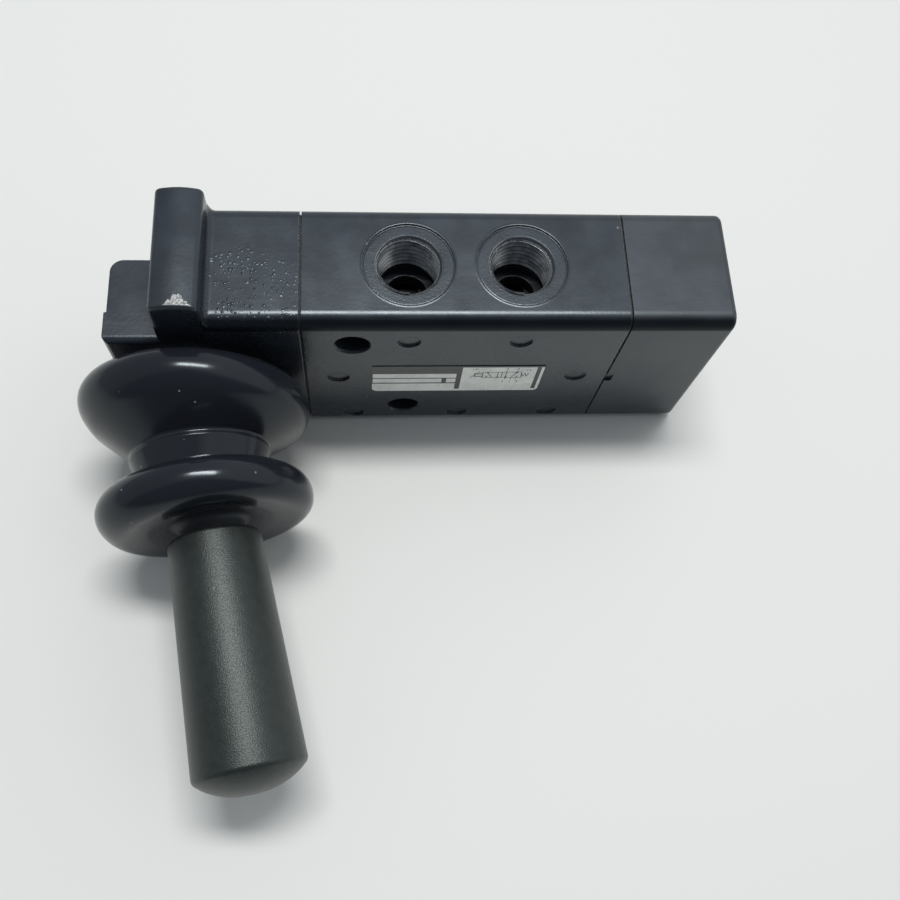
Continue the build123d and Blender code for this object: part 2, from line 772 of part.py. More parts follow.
# Grip: a cone that widens to a domed end, with a blind bore for the rod
dome_radius = (grip_end_radius**2 + grip_dome**2) / (2 * grip_dome)
dome_middle = grip_end_radius / 2
dome_middle_place = grip_end + grip_dome - dome_radius + sqrt(dome_radius**2 - dome_middle**2)
with BuildPart() as handle_grip:
    with BuildSketch(lever_plane):
        with BuildLine():
            Line((grip_start, 0), (grip_start, grip_start_radius))
            Line((grip_start, grip_start_radius), (grip_end, grip_end_radius))
            ThreePointArc(
                (grip_end, grip_end_radius),
                (dome_middle_place, dome_middle),
                (grip_end + grip_dome, 0),
            )
            Line((grip_end + grip_dome, 0), (grip_start, 0))
        make_face()
        start_corner = vertices().sort_by(Axis.X).group_by(Axis.X)[0].sort_by(Axis.Y)[-1]
        fillet(start_corner, grip_edge_radius)
        fillet(vertices().sort_by(Axis.Y)[-1], grip_rim_radius)
    revolve(axis=lever_axis)
    with BuildSketch(Plane(origin=pivot + lever_direction * grip_start, z_dir=lever_direction)):
        Circle(rod_diameter / 2 + fit_clearance)
    extrude(amount=rod_end - grip_start, mode=Mode.SUBTRACT)
finish(handle_grip, "handle_grip")
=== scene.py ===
# %% [markdown]
# A hand lever air valve lies on a pale table. The metal body, the housing, the screws and the
# parts inside come from the CAD model. They keep their shapes here and only get their finishes.
# The soft and fine pieces are modelled new: the rubber boot, the moulded grip, the port
# threads and the label plate. Everything is in metres, in the CAD model's own frame.

from math import cos, pi, radians, sin, tan

import bmesh
import bpy
from mathutils import Matrix, Quaternion, Vector


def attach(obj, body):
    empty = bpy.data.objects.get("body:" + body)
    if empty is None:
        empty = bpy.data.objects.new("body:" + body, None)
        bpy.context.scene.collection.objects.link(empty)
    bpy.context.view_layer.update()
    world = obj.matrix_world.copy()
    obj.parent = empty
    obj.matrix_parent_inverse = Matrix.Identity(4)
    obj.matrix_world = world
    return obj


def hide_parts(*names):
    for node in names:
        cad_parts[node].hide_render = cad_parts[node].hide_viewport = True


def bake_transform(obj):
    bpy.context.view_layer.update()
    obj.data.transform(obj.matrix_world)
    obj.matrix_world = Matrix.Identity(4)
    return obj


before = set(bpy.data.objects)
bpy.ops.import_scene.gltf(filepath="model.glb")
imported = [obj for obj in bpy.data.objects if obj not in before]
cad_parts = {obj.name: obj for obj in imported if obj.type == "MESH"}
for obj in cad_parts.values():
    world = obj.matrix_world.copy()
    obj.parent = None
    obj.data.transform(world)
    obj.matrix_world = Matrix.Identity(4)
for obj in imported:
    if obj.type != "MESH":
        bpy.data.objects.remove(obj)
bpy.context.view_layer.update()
print("CAD pieces:", len(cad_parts))

# %% [markdown]
# The camera stands almost above the valve and a little in front of it, as in the photograph.
# Its place was worked out from the block's edges, so a point of the CAD model falls on the
# same spot of the picture. `to_track_quat` aims it, and one more turn about its own axis
# gives the slight roll.

# %% Camera
MM = 0.001
camera_data = bpy.data.cameras.new("camera")
camera_data.lens = 38.78
camera_data.sensor_width = 36
camera_data.clip_start = 0.01
camera = bpy.data.objects.new("camera", camera_data)
bpy.context.scene.collection.objects.link(camera)
camera.location = Vector((-21.458, -99.435, 209.362)) * MM
camera.rotation_mode = "QUATERNION"
aim = Vector((0.09509, 0.34993, -0.93193))
camera.rotation_quaternion = aim.to_track_quat("-Z", "Y") @ Quaternion((0, 0, 1), radians(13.48))
bpy.context.scene.camera = camera
print("camera stands", round(camera.location.length * 1000), "mm from port 1")

# %% [markdown]
# Shader trees are easier to read when each node is made in one line. `node` adds one, sets its
# choices by keyword and its inputs by name, and an input that is given a socket gets a link.
# The short functions after it stand for the few steps that come back in every finish.

# %% A short way to write nodes
def node(tree, kind, inputs=None, **choices):
    """Adds one node; inputs are numbers, colours or sockets to link."""
    made = tree.nodes.new("ShaderNode" + kind)
    for name, value in choices.items():
        setattr(made, name, value)
    for name, value in (inputs or {}).items():
        socket = made.inputs[name]
        if isinstance(value, bpy.types.NodeSocket):
            tree.links.new(value, socket)
        else:
            socket.default_value = value
    return made


def maths(tree, operation, first, second=0.0):
    """One Math node, as its output socket."""
    return node(tree, "Math", {0: first, 1: second}, operation=operation).outputs[0]


def blend_colours(tree, mask, below, above):
    """Mixes two colours by a mask, as an output socket."""
    mixer = node(tree, "Mix", {0: mask, 6: below, 7: above}, data_type="RGBA")
    return mixer.outputs[2]


def times(tree, first, second):
    """The product of two values, as an output socket."""
    return maths(tree, "MULTIPLY", first, second)


def ramp(tree, value, low, high):
    """Turns values from low to high into 0 to 1, as an output socket."""
    mapped = node(tree, "MapRange", {"Value": value, "From Min": low, "From Max": high})
    return mapped.outputs["Result"]


def spread(tree, value, low, high):
    """Turns values from 0 to 1 into low to high, as an output socket."""
    mapped = node(tree, "MapRange", {"Value": value, "To Min": low, "To Max": high})
    return mapped.outputs["Result"]


def stripe(tree, value, middle, half_width):
    """1 where a value meets the middle, falling to 0 at the half width."""
    off = maths(tree, "ABSOLUTE", maths(tree, "SUBTRACT", value, middle))
    return ramp(tree, off, half_width, 0.0)


def noise(tree, place, scale, detail):
    """A noise value at a place, as an output socket."""
    return node(tree, "TexNoise", {"Vector": place, "Scale": scale, "Detail": detail}).outputs[0]


def distance_to(tree, place, centre):
    """The distance from a place to a point, in metres, as an output socket."""
    return node(tree, "VectorMath", {0: place, 1: centre}, operation="DISTANCE").outputs["Value"]


def new_group(name, values, outputs):
    """An empty node group with number inputs, a Vector input and number outputs."""
    tree = bpy.data.node_groups.new(name, "ShaderNodeTree")
    tree.interface.new_socket("Vector", in_out="INPUT", socket_type="NodeSocketVector")
    for label, value in values.items():
        socket = tree.interface.new_socket(label, in_out="INPUT", socket_type="NodeSocketFloat")
        socket.default_value = value
    for label in outputs:
        tree.interface.new_socket(label, in_out="OUTPUT", socket_type="NodeSocketFloat")
    return tree, tree.nodes.new("NodeGroupInput"), tree.nodes.new("NodeGroupOutput")


print("node helpers are ready")

# %% [markdown]
# The light is soft. The world is a plain room, bright above, behind and most of all at the
# right, dimmer at the left and dark in front, around the camera. A large lamp overhead, a little
# behind the valve, draws the soft shadows in front and the thin bright lines along the rounded
# edges. The camera itself sees an even pale backdrop, through the Light Path node.

# %% World
scene = bpy.context.scene
scene.view_settings.view_transform = "Standard"
scene.world = bpy.data.worlds.new("room")
scene.world.use_nodes = True
sky = scene.world.node_tree
sky.nodes.clear()
way = node(sky, "SeparateXYZ", {0: node(sky, "TexCoord").outputs["Generated"]})
to_the_sides = times(sky, maths(sky, "ABSOLUTE", way.outputs["X"]), 0.45)
in_front = ramp(sky, maths(sky, "ADD", way.outputs["Y"], to_the_sides), 0.02, -0.14)
at_table_height = ramp(sky, way.outputs["Z"], 0.05, 0.0)
at_the_right = ramp(sky, way.outputs["X"], 0.05, 0.35)
at_the_left = ramp(sky, way.outputs["X"], -0.05, -0.4)
tone = blend_colours(sky, at_the_right, (0.56, 0.59, 0.62, 1), (0.76, 0.79, 0.82, 1))
tone = blend_colours(sky, at_the_left, tone, (0.36, 0.385, 0.41, 1))
tone = blend_colours(sky, in_front, tone, (0.145, 0.16, 0.185, 1))
tone = blend_colours(sky, at_table_height, tone, (0.26, 0.28, 0.30, 1))
room = node(sky, "Background", {"Color": tone, "Strength": 1.0})
backdrop = node(sky, "Background", {"Color": (0.70, 0.72, 0.74, 1), "Strength": 1.0})
camera_ray = node(sky, "LightPath").outputs["Is Camera Ray"]
seen = node(sky, "MixShader", {0: camera_ray, 1: room.outputs[0], 2: backdrop.outputs[0]})
node(sky, "OutputWorld", {"Surface": seen.outputs[0]})
print("world:", len(sky.nodes), "nodes")

# %% Lamp
lamp_data = bpy.data.lights.new("ceiling_lamp", "AREA")
lamp_data.shape = "RECTANGLE"
lamp_data.size = 0.5
lamp_data.size_y = 0.16
lamp_data.energy = 8.0
lamp = bpy.data.objects.new("ceiling_lamp", lamp_data)
scene.collection.objects.link(lamp)
lamp.location = (0.02, 0.2, 1.05)
lamp.rotation_mode = "QUATERNION"
lamp.rotation_quaternion = (-lamp.location).to_track_quat("-Z", "Y")
print("lamp:", lamp_data.size, "m long,", lamp_data.energy, "W")

# %% [markdown]
# Four effects are shared by several finishes, so each is a node group. The skin group is the
# fine uneven surface of paint or moulded rubber. The worn edge group compares the true normal
# with the one of a Bevel node, which differ only near an edge, and breaks the line up with
# noise. The scratch group stretches noise along one direction. The dust group scatters tiny
# specks and lint.

# %% Group: skin of paint or rubber
skin, given, result = new_group("skin", {"Scale": 900.0, "Unevenness": 0.5}, ["Height", "Cloud"])
fine = noise(skin, given.outputs["Vector"], given.outputs["Scale"], 3.0)
broad = noise(skin, given.outputs["Vector"], times(skin, given.outputs["Scale"], 0.13), 2.0)
height = node(skin, "Mix", {0: given.outputs["Unevenness"], 2: fine, 3: broad})
skin.links.new(height.outputs[0], result.inputs["Height"])
skin.links.new(broad, result.inputs["Cloud"])
print("skin:", len(skin.nodes), "nodes")

# %% Group: worn edges
usual = {"Width": 0.0005, "Amount": 0.5, "Scale": 700.0}
wear, given, result = new_group("worn_edges", usual, ["Mask"])
rounded = node(wear, "Bevel", {"Radius": given.outputs["Width"]}, samples=6).outputs[0]
true_normal = node(wear, "NewGeometry").outputs["Normal"]
facing = node(wear, "VectorMath", {0: rounded, 1: true_normal}, operation="DOT_PRODUCT")
edge = maths(wear, "SUBTRACT", 1.0, facing.outputs["Value"])
patches = noise(wear, given.outputs["Vector"], given.outputs["Scale"], 4.0)
least = maths(wear, "SUBTRACT", 0.22, times(wear, given.outputs["Amount"], 0.2))
mask = ramp(wear, times(wear, edge, patches), least, maths(wear, "ADD", least, 0.05))
wear.links.new(mask, result.inputs["Mask"])
print("worn edges:", len(wear.nodes), "nodes")

# %% Group: scratches
usual = {"Scale": 60.0, "Stretch": 0.03, "Amount": 0.5}
scratch, given, result = new_group("scratches", usual, ["Mask"])
place = given.outputs["Vector"]
squeeze = node(scratch, "CombineXYZ", {"X": given.outputs["Stretch"], "Y": 1.0, "Z": 1.0})
stretched = node(scratch, "VectorMath", {0: place, 1: squeeze.outputs[0]}, operation="MULTIPLY")
lines = noise(scratch, stretched.outputs[0], given.outputs["Scale"], 6.0)
spots = noise(scratch, place, 45.0, 1.0)
marks = times(scratch, stripe(scratch, lines, 0.5, 0.012), ramp(scratch, spots, 0.52, 0.62))
scratch.links.new(times(scratch, marks, given.outputs["Amount"]), result.inputs["Mask"])
print("scratches:", len(scratch.nodes), "nodes")

# %% Group: dust and lint
dust, given, result = new_group("dust", {"Scale": 500.0, "Amount": 0.5}, ["Mask"])
scale = given.outputs["Scale"]
cells = node(dust, "TexVoronoi", {"Vector": given.outputs["Vector"], "Scale": scale})
chance = node(dust, "SeparateColor", {"Color": cells.outputs["Color"]})
share = times(dust, given.outputs["Amount"], 0.2)
chosen = maths(dust, "GREATER_THAN", share, chance.outputs[0])
size = times(dust, chance.outputs[1], 0.22)
speck = ramp(dust, cells.outputs["Distance"], size, times(dust, size, 0.5))
dust.links.new(times(dust, chosen, speck), result.inputs["Mask"])
print("node groups:", ", ".join(group.name for group in bpy.data.node_groups))

# %% [markdown]
# A finish starts from one Principled BSDF. Its steady numbers sit on its own sockets, and only
# what changes over the surface is wired in: colour, roughness and the normal.

# %% Start of every finish
def new_finish(name, **values):
    """A material with one Principled BSDF; returns it with its tree, shader and coordinates."""
    material = bpy.data.materials.new(name)
    material.use_nodes = True
    tree = material.node_tree
    tree.nodes.clear()
    shader = tree.nodes.new("ShaderNodeBsdfPrincipled")
    output = tree.nodes.new("ShaderNodeOutputMaterial")
    tree.links.new(shader.outputs[0], output.inputs["Surface"])
    for label, value in values.items():
        shader.inputs[label.replace("_", " ")].default_value = value
    place = node(tree, "TexCoord").outputs["Object"]
    return material, tree, shader, place


def use_group(tree, group, place, **values):
    """Places a shared node group in a material with its own values."""
    made = tree.nodes.new("ShaderNodeGroup")
    made.node_tree = group
    tree.links.new(place, made.inputs["Vector"])
    for label, value in values.items():
        made.inputs[label].default_value = value
    return made


def raise_surface(tree, shader, height, distance, strength=1.0, round_edges=0.0):
    """Feeds a height through a Bump node into the shader's normal, over rounded edges if asked."""
    bump = node(tree, "Bump", {"Height": height, "Distance": distance, "Strength": strength})
    if round_edges:
        soft = node(tree, "Bevel", {"Radius": round_edges}, samples=6)
        tree.links.new(soft.outputs[0], bump.inputs["Normal"])
    tree.links.new(bump.outputs[0], shader.inputs["Normal"])


print("finish helpers are ready")

# %% [markdown]
# The body and the housing are die-cast metal under black satin paint. The paint is not quite
# even, carries fine scratches along the length, and is rubbed pale along some edges. Along the
# rounded front edge the colour is painted near black and reflects less: painted shade, in place
# of the dark room in front that this edge reflects. Deep in the body, within the spool bore's
# radius, the colour is painted near black and rough too: painted shade for the dark interior.
# Some places are special: the front end of the raised bar has lost its paint, the flat top
# beside it is rough with small blisters, and each upper port has a raised rim with a groove
# inside it. The distance from such a place switches the effect on there. A Bevel node rounds
# the sharp CAD edges in the shading, so they catch the light.

# %% Places on the painted metal, in metres
body_top = 0.047
bar_side = -0.0502
bar_front = -0.01245
edge_low, edge_high, edge_back = 0.0437, 0.0474, -0.0112
bore_axis, bore_radius = (0, 0, 0.0235), 0.0125
upper_ports = [(-0.0111, 0, body_top), (0.0111, 0, body_top)]
rim_radius, groove_radius, spot_face_radius = 0.00925, 0.00882, 0.009
chips = [
    ((-0.0532, -0.0116, 0.0533), 0.0014),
    ((-0.0520, -0.0121, 0.0533), 0.0010),
    ((-0.0547, -0.0122, 0.0533), 0.0010),
    ((-0.0562, -0.0121, 0.0532), 0.0006),
]
blister_centre, blister_reach = (-0.0430, -0.0090, body_top), 0.0135
dish_centre, dish_reach = (-0.0497, -0.0458, 0.0235), 0.014
print("special places:", len(chips), "chips and", len(upper_ports), "port rims")

# %% Masks and bumps of the special places
def near(tree, place, centre, radius):
    """A mask that fades out at a distance from a point."""
    return ramp(tree, distance_to(tree, place, centre), radius, radius * 0.5)


def chipped(tree, place, along_y):
    """Where the raised bar's front end is bare: ragged spots that stop at the edge of its top."""
    bites = times(tree, maths(tree, "SUBTRACT", noise(tree, place, 600.0, 4.0), 0.5), 0.0035)
    found = 0.0
    for centre, radius in chips:
        away = maths(tree, "ADD", distance_to(tree, place, centre), bites)
        found = maths(tree, "MAXIMUM", found, ramp(tree, away, radius, radius * 0.9))
    return times(tree, found, ramp(tree, along_y, bar_front, bar_front + 0.00015))


def blistered(tree, place, along_x):
    """The height of small round blisters, gathered in groups beside the raised bar."""
    cells = node(tree, "TexVoronoi", {"Vector": place, "Scale": 1200.0, "Randomness": 1.0})
    chance = node(tree, "SeparateColor", {"Color": cells.outputs["Color"]}).outputs[0]
    size = maths(tree, "ADD", times(tree, chance, 0.36), 0.14)
    fall = maths(tree, "POWER", maths(tree, "DIVIDE", cells.outputs["Distance"], size), 2.0)
    dome = times(tree, maths(tree, "MAXIMUM", maths(tree, "SUBTRACT", 1.0, fall), 0.0), size)
    here = ramp(tree, noise(tree, place, 330.0, 3.0), 0.37, 0.47)
    here = times(tree, here, near(tree, place, blister_centre, blister_reach))
    here = times(tree, here, ramp(tree, along_x, bar_side, bar_side + 0.001))
    return times(tree, times(tree, dome, here), 9.0)


def port_rims(tree, place, crumbs):
    """The height of the rims, grooves and ground spot faces round the upper ports."""
    left, right = (distance_to(tree, place, port) for port in upper_ports)
    away = maths(tree, "MINIMUM", left, right)
    rim = stripe(tree, away, rim_radius, 0.00025)
    groove = stripe(tree, away, groove_radius, 0.0002)
    within = ramp(tree, away, spot_face_radius, spot_face_radius - 0.0002)
    ground = times(tree, within, times(tree, crumbs, 1.2))
    return maths(tree, "ADD", times(tree, maths(tree, "SUBTRACT", rim, groove), 1.6), ground)


def painted_shade_edge(tree, at):
    """A mask of the rounded edge between the top and the front, up to the raised bar, where shade
    is painted.
    """
    above = ramp(tree, at["Z"], edge_low, edge_low + 0.0005)
    below = ramp(tree, at["Z"], edge_high, edge_high - 0.0003)
    beside = ramp(tree, at["X"], bar_side, bar_side + 0.0004)
    before = ramp(tree, at["Y"], edge_back, edge_back - 0.0008)
    return times(tree, times(tree, times(tree, above, below), beside), before)


print("masks are ready")

# %% Finish: black paint on cast metal
def black_paint(name, colour, roughness, worn, scratched, pits):
    """Satin black paint with its own amount of wear."""
    is_body, is_housing = name == "body_paint", name == "housing_paint"
    material, tree, shader, place = new_finish(name, Specular_Tint=(0.84, 0.94, 1.0, 1))
    at = node(tree, "SeparateXYZ", {0: place}).outputs
    surface = use_group(tree, skin, place, Scale=1400.0, Unevenness=0.55)
    edges = use_group(tree, wear, place, Width=0.0006, Amount=worn, Scale=900.0)
    lines = use_group(tree, scratch, place, Scale=700.0, Stretch=0.02, Amount=scratched)
    specks = use_group(tree, dust, place, Scale=420.0, Amount=0.12)
    haze = noise(tree, place, 75.0, 3.0)
    crumbs = noise(tree, place, 2600.0, 3.0)

    darker = [part * 0.7 for part in colour] + [1]
    cloud = ramp(tree, surface.outputs["Cloud"], 0.35, 0.65)
    paint = blend_colours(tree, cloud, darker, list(colour) + [1])
    paint = blend_colours(tree, lines.outputs["Mask"], paint, (0.16, 0.16, 0.17, 1))
    paint = blend_colours(tree, times(tree, specks.outputs["Mask"], 0.5), paint, (0.3, 0.3, 0.3, 1))
    bare = edges.outputs["Mask"]
    if is_housing:
        bare = maths(tree, "MAXIMUM", bare, chipped(tree, place, at["Y"]))
    grainy = ramp(tree, crumbs, 0.42, 0.62)
    metal = blend_colours(tree, grainy, (0.46, 0.46, 0.44, 1), (0.10, 0.10, 0.10, 1))
    paint = blend_colours(tree, bare, paint, metal)
    # Painted shade: deep in the body, within the spool bore's radius, the colour is near black and
    # the paint rough, for the dark interior seen through the ports.
    if is_body:
        across = node(tree, "VectorMath", {0: place, 1: (0, 1, 1)}, operation="MULTIPLY").outputs[0]
        from_axis = distance_to(tree, across, bore_axis)
        inside = ramp(tree, from_axis, bore_radius + 0.0002, bore_radius - 0.0002)
        paint = blend_colours(tree, inside, paint, (0.006, 0.0065, 0.007, 1))
    # Painted shade: the rounded front edge gets a near black colour and a lower specular level, in
    # place of the dark room that it reflects.
    painted_edge_shade = painted_shade_edge(tree, at)
    paint = blend_colours(tree, times(tree, painted_edge_shade, 0.8), paint, (0.003, 0.004, 0.006, 1))
    tree.links.new(paint, shader.inputs["Base Color"])
    level = maths(tree, "SUBTRACT", 0.58, times(tree, painted_edge_shade, 0.45))
    tree.links.new(level, shader.inputs["Specular IOR Level"])

    dull = ramp(tree, surface.outputs["Cloud"], 0.2, 0.8)
    dull = maths(tree, "ADD", dull, ramp(tree, haze, 0.35, 0.65))
    rough = spread(tree, times(tree, dull, 0.5), roughness - 0.05, roughness + 0.06)
    if is_body:
        rough = maths(tree, "MAXIMUM", rough, times(tree, inside, 0.75))
    tree.links.new(rough, shader.inputs["Roughness"])

    bubbles = node(tree, "TexVoronoi", {"Vector": place, "Scale": 650.0, "Randomness": 1.0})
    bumps = times(tree, ramp(tree, bubbles.outputs["Distance"], 0.35, 0.0), pits)
    bumps = maths(tree, "ADD", bumps, times(tree, bare, times(tree, haze, -4.0)))
    if is_housing:
        bumps = maths(tree, "ADD", bumps, blistered(tree, place, at["X"]))
    if is_body:
        bumps = maths(tree, "ADD", bumps, port_rims(tree, place, crumbs))
    height = maths(tree, "ADD", surface.outputs["Height"], bumps)
    raise_surface(tree, shader, height, 0.00005, 0.6, round_edges=0.0003)
    return material


body_paint = black_paint("body_paint", (0.020, 0.025, 0.033), 0.27, 0.05, 0.2, 0.05)
housing_paint = black_paint("housing_paint", (0.019, 0.024, 0.032), 0.27, 0.12, 0.2, 0.2)
cap_paint = black_paint("cap_paint", (0.029, 0.034, 0.040), 0.36, 0.05, 0.15, 0.03)
print("paints:", body_paint.name, housing_paint.name, cap_paint.name)

# %% [markdown]
# The boot is glossy black rubber with fine specks of dust, lighter grey and rougher in its dish,
# and the grip is moulded in a hard matt plastic with a fine grain. Both are nearly black, so the
# difference is all in roughness and bump.

# %% Finish: boot rubber and grip plastic
look = {"Specular_IOR_Level": 0.35, "Specular_Tint": (0.86, 0.95, 1.0, 1)}
boot_rubber, tree, shader, place = new_finish("boot_rubber", **look)
surface = use_group(tree, skin, place, Scale=900.0, Unevenness=0.7)
specks = use_group(tree, dust, place, Scale=800.0, Amount=0.35)
dusty = specks.outputs["Mask"]
rubber = blend_colours(tree, dusty, (0.0105, 0.0122, 0.0165, 1), (0.20, 0.21, 0.22, 1))
# The dish round the collar is lighter grey and rougher.
in_dish = near(tree, place, dish_centre, dish_reach)
rubber = blend_colours(tree, times(tree, in_dish, 0.8), rubber, (0.036, 0.039, 0.043, 1))
tree.links.new(rubber, shader.inputs["Base Color"])
rough = spread(tree, surface.outputs["Cloud"], 0.13, 0.22)
rough = maths(tree, "MAXIMUM", rough, times(tree, in_dish, 0.5))
tree.links.new(rough, shader.inputs["Roughness"])
raise_surface(tree, shader, surface.outputs["Height"], 0.00004, 0.6)

look = {"Specular_IOR_Level": 0.6, "Specular_Tint": (0.89, 1.0, 0.95, 1)}
grip_plastic, tree, shader, place = new_finish("grip_plastic", **look)
surface = use_group(tree, skin, place, Scale=4600.0, Unevenness=0.15)
edges = use_group(tree, wear, place, Width=0.0004, Amount=0.15, Scale=800.0)
specks = use_group(tree, dust, place, Scale=900.0, Amount=0.08)
cloud = ramp(tree, surface.outputs["Cloud"], 0.3, 0.7)
plastic = blend_colours(tree, cloud, (0.008, 0.0105, 0.0100, 1), (0.014, 0.0172, 0.0165, 1))
plastic = blend_colours(tree, edges.outputs["Mask"], plastic, (0.12, 0.12, 0.12, 1))
plastic = blend_colours(tree, specks.outputs["Mask"], plastic, (0.2, 0.2, 0.2, 1))
tree.links.new(plastic, shader.inputs["Base Color"])
tree.links.new(spread(tree, surface.outputs["Height"], 0.31, 0.43), shader.inputs["Roughness"])
raise_surface(tree, shader, surface.outputs["Height"], 0.00009, 0.9)
print("rubber and plastic are ready")

# %% [markdown]
# The inner pieces are seen through the ports and in the other views: turned steel, a bronze
# bush, a bright spool, dark moulded cages and matt seals. Turned metal shows fine rings, so its
# bump comes from noise that is squeezed along one axis.

# %% Finish: turned metals
def turned_metal(name, colour, roughness, along):
    """Machined metal with fine tool marks across the given axis."""
    material, tree, shader, place = new_finish(name, Metallic=1.0)
    squeeze = [1.0 if index == along else 0.06 for index in range(3)]
    marks_at = node(tree, "Mapping", {"Vector": place, "Scale": squeeze}).outputs[0]
    marks = noise(tree, marks_at, 3500.0, 3.0)
    stain = noise(tree, place, 160.0, 4.0)
    dull = [part * 0.72 for part in colour] + [1]
    metal = blend_colours(tree, ramp(tree, stain, 0.35, 0.7), list(colour) + [1], dull)
    tree.links.new(metal, shader.inputs["Base Color"])
    rough = spread(tree, marks, roughness - 0.06, roughness + 0.1)
    tree.links.new(rough, shader.inputs["Roughness"])
    raise_surface(tree, shader, marks, 0.00002, 0.4)
    return material


pin_steel = turned_metal("pin_steel", (0.50, 0.50, 0.52), 0.3, 2)
screw_steel = turned_metal("screw_steel", (0.16, 0.16, 0.17), 0.38, 0)
spool_metal = turned_metal("spool_metal", (0.66, 0.66, 0.68), 0.24, 0)
bush_bronze = turned_metal("bush_bronze", (0.46, 0.30, 0.14), 0.34, 0)
print("metals:", pin_steel.name, screw_steel.name, spool_metal.name, bush_bronze.name)

# %% Finish: cage plastic and seal rubber
def plain_moulding(name, colour, roughness, scale):
    """A moulded piece with a fine skin."""
    material, tree, shader, place = new_finish(name, Specular_IOR_Level=0.45)
    surface = use_group(tree, skin, place, Scale=scale, Unevenness=0.4)
    lighter = [part * 1.3 for part in colour] + [1]
    cloud = ramp(tree, surface.outputs["Cloud"], 0.35, 0.65)
    mixed = blend_colours(tree, cloud, list(colour) + [1], lighter)
    tree.links.new(mixed, shader.inputs["Base Color"])
    rough = spread(tree, surface.outputs["Height"], roughness - 0.05, roughness + 0.08)
    tree.links.new(rough, shader.inputs["Roughness"])
    raise_surface(tree, shader, surface.outputs["Height"], 0.00005, 0.4)
    return material


cage_plastic = plain_moulding("cage_plastic", (0.015, 0.015, 0.016), 0.6, 1200.0)
seal_rubber = plain_moulding("seal_rubber", (0.013, 0.013, 0.014), 0.62, 1000.0)
print("mouldings:", cage_plastic.name, seal_rubber.name)

# %% [markdown]
# Each CAD piece takes its finish by name. The meshes stay as they are, and only the material
# slots change.

# %% Give the CAD pieces their finishes
def give(material, *names):
    """Puts one material on CAD pieces, by name."""
    for name in names:
        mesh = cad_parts[name].data
        mesh.materials.clear()
        mesh.materials.append(material)


cages = [f"port_cage_{number}" for number in range(1, 6)]
seals = [f"spool_seal_{number}" for number in range(1, 7)]
give(body_paint, "valve_body")
give(housing_paint, "lever_housing")
give(cap_paint, "end_cap")
give(boot_rubber, "bellows")
give(grip_plastic, "handle_grip")
give(screw_steel, "cap_screws", "housing_screws", "bellows_retainer")
give(pin_steel, "pivot_pin", "rocker", "toe_pin", "toe_roller", "lever_rod")
give(pin_steel, "return_spring", "spool_tip")
give(spool_metal, "spool")
give(bush_bronze, "guide_bush", "lower_pivot_bush", "upper_pivot_bush")
give(cage_plastic, "end_ring_left", "end_ring_right", "spring_seat", *cages)
give(seal_rubber, "cap_gasket", "housing_gasket", *seals)
print("dressed", sum(1 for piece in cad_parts.values() if piece.data.materials), "CAD pieces")

# %% [markdown]
# Round pieces are turned from a profile, as on a lathe. The profile is one flat face with few
# corners. A vertex bevel rounds each corner that has a radius, then the outline is spun about
# the axis. A bevel measures along the edges, so the radius times the tangent of half the turn
# gives its offset.

# %% Helpers: round a profile, spin it, finish a mesh
def rounded_outline(bm, corners, segments=8):
    """Lays corners (along, out, radius) in the XZ plane and rounds them; returns the outline."""
    verts = [bm.verts.new((out, 0, along)) for along, out, radius in corners]
    bm.faces.new(verts)
    for index, (along, out, radius) in enumerate(corners):
        if radius == 0:
            continue
        here = Vector((along, out))
        before = Vector(corners[index - 1][:2])
        after = Vector(corners[(index + 1) % len(corners)][:2])
        turn = (here - before).angle(after - here)
        bmesh.ops.bevel(
            bm, geom=[verts[index]], offset=radius * tan(turn / 2), offset_type="OFFSET",
            segments=segments, profile=0.5, affect="VERTICES", material=-1,
        )
    bmesh.ops.delete(bm, geom=bm.faces[:], context="FACES_ONLY")
    return bm.edges[:]


def turned_piece(corners, steps=128, segments=8):
    """A closed turned shape about the Z axis, in millimetres, as a bmesh."""
    bm = bmesh.new()
    outline = rounded_outline(bm, corners, segments)
    ends = list({vert for line in outline for vert in line.verts})
    bmesh.ops.spin(
        bm, geom=ends + outline, cent=(0, 0, 0), axis=(0, 0, 1),
        angle=2 * pi, steps=steps, use_merge=True,
    )
    bmesh.ops.remove_doubles(bm, verts=bm.verts[:], dist=0.0005)
    bmesh.ops.recalc_face_normals(bm, faces=bm.faces[:])
    return bm


def finish_piece(bm, name, material, body, sharp=35):
    """Turns a bmesh in millimetres into a smooth object in metres that rides on a body."""
    bmesh.ops.scale(bm, vec=(MM, MM, MM), verts=bm.verts[:])
    for face in bm.faces:
        face.smooth = True
    mesh = bpy.data.meshes.new(name)
    bm.to_mesh(mesh)
    bm.free()
    mesh.set_sharp_from_angle(angle=radians(sharp))
    mesh.materials.append(material)
    piece = bpy.data.objects.new(name, mesh)
    scene.collection.objects.link(piece)
    if body:
        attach(piece, body)
    print(name, "has", len(mesh.polygons), "faces")
    return piece


print("mesh helpers are ready")

# %% [markdown]
# The lever turns about a pin in the housing, and at rest it leans half its travel toward the
# end cap. The grip is a slightly tapered handle with a rounded start edge and a low domed end.
# It is turned straight and then placed along the lever.

# %% Grip
pivot = Vector((-56.5, -9.0, 23.5))
lean = radians(10.5)
lever_way = Vector((sin(lean), -cos(lean), 0))


def along_lever(bm, way):
    """Moves a piece turned about Z so that its axis starts at the pivot and goes along way."""
    turn = Vector((0, 0, 1)).rotation_difference(way).to_matrix().to_4x4()
    bmesh.ops.transform(bm, matrix=Matrix.Translation(pivot) @ turn, verts=bm.verts[:])


